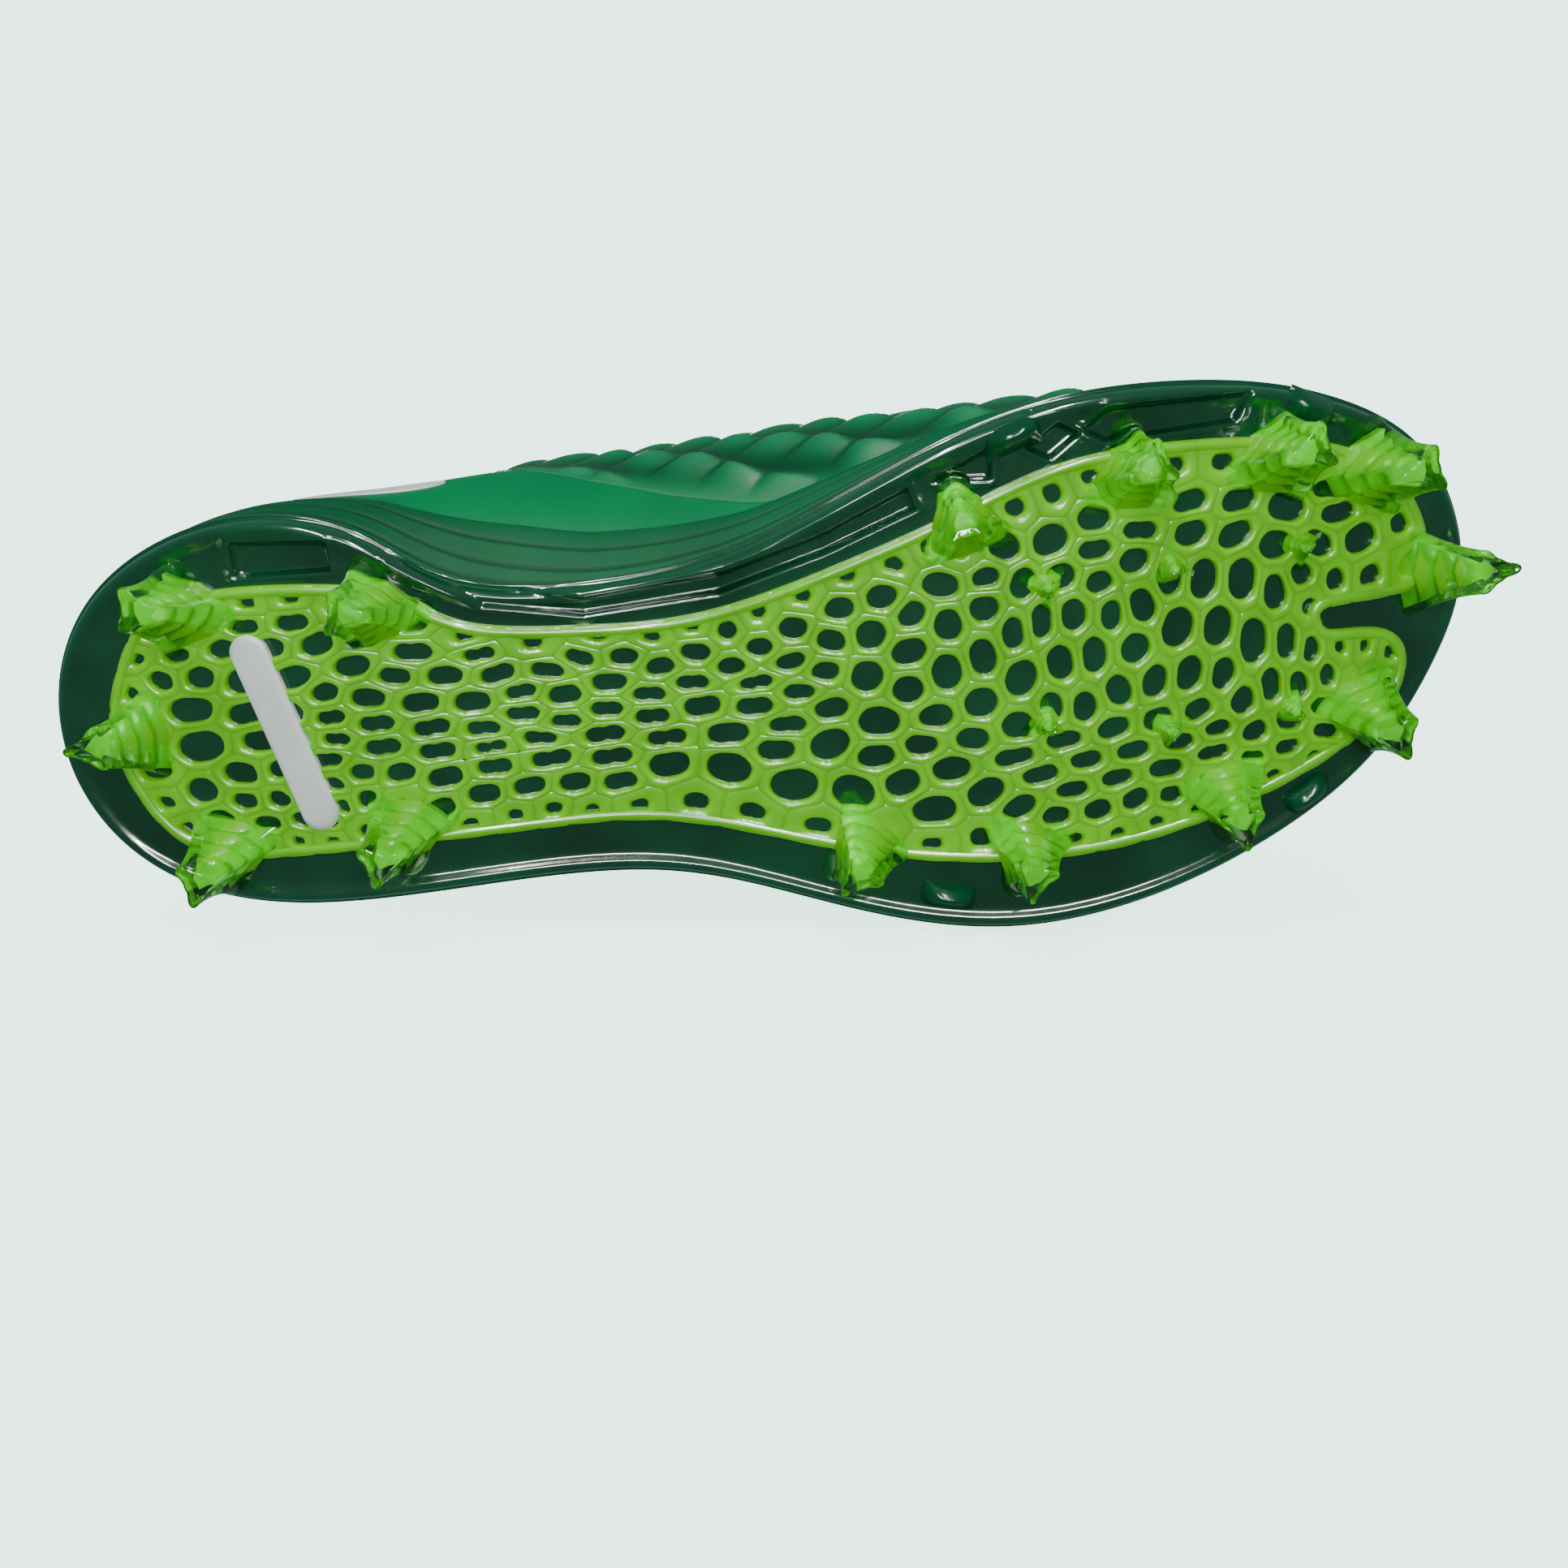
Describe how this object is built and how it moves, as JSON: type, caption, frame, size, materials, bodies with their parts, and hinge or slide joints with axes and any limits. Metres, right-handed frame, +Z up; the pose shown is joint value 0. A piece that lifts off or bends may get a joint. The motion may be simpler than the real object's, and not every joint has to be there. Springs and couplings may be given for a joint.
{
  "type": "football boot",
  "caption": "Low-cut studded football boot for the left foot: moulded plate with a lattice insert and clear bladed studs, panelled upper and a tongue that folds forward.",
  "frame": {"origin": "bottom centre of the boot as it stands on its studs", "axes": "+X from heel to toe, +Y to the outer side of the foot, +Z up"},
  "size_m": [0.2964, 0.1108, 0.1185],
  "materials": {
    "board": "felt",
    "clear_green_tpu": "clear glossy moulded",
    "foam": "soft",
    "green_tpu": "glossy moulded",
    "lime_tpu": "glossy moulded",
    "lining_mesh": "knit",
    "quarter_skin": "smooth matte",
    "rand_skin": "matte moulded",
    "sockliner_foam": "foam with cloth top",
    "stiffener": "plain",
    "tongue_skin": "smooth matte",
    "vamp_skin": "embossed satin",
    "white_print": "smooth"
  },
  "bodies": {
    "boot": {"eyestay_inner": "quarter_skin", "eyestay_outer": "quarter_skin", "grip_stud_1": "clear_green_tpu", "grip_stud_2": "clear_green_tpu", "grip_stud_3": "clear_green_tpu", "grip_stud_4": "clear_green_tpu", "grip_stud_5": "clear_green_tpu", "grip_stud_6": "clear_green_tpu", "heel_badge": "white_print", "heel_counter": "stiffener", "heel_panel": "quarter_skin", "lasting_board": "board", "lining_forefoot": "lining_mesh", "lining_heel": "lining_mesh", "outsole_plate": "green_tpu", "quarter_inner": "quarter_skin", "quarter_outer": "quarter_skin", "rand_heel": "rand_skin", "rand_inner": "rand_skin", "rand_outer": "rand_skin", "rand_toe": "rand_skin", "rim_fin_inner_back": "clear_green_tpu", "rim_fin_inner_front": "clear_green_tpu", "rim_fin_outer_back": "clear_green_tpu", "rim_fin_outer_front": "clear_green_tpu", "sockliner": "sockliner_foam", "stud_ball_inner_1": "clear_green_tpu", "stud_ball_inner_2": "clear_green_tpu", "stud_ball_inner_3": "clear_green_tpu", "stud_ball_inner_4": "clear_green_tpu", "stud_ball_outer_1": "clear_green_tpu", "stud_ball_outer_2": "clear_green_tpu", "stud_ball_outer_3": "clear_green_tpu", "stud_ball_outer_4": "clear_green_tpu", "stud_heel_back": "clear_green_tpu", "stud_heel_inner": "clear_green_tpu", "stud_heel_outer": "clear_green_tpu", "stud_toe": "clear_green_tpu", "stud_waist_inner": "clear_green_tpu", "stud_waist_outer": "clear_green_tpu", "toe_puff": "stiffener", "vamp": "vamp_skin", "web_insert": "lime_tpu"},
    "tongue": {"tongue_foam": "foam", "tongue_lining": "lining_mesh", "tongue_shell": "tongue_skin"}
  },
  "joints": [
    {"name": "tongue_hinge", "type": "hinge", "parent": "boot", "child": "tongue", "pos_m": [0.05297, -0.00281, 0.073], "axis": [0, 1, 0], "range_deg": [0, 50], "stiffness_Nm_per_rad": 0.02}
  ]
}
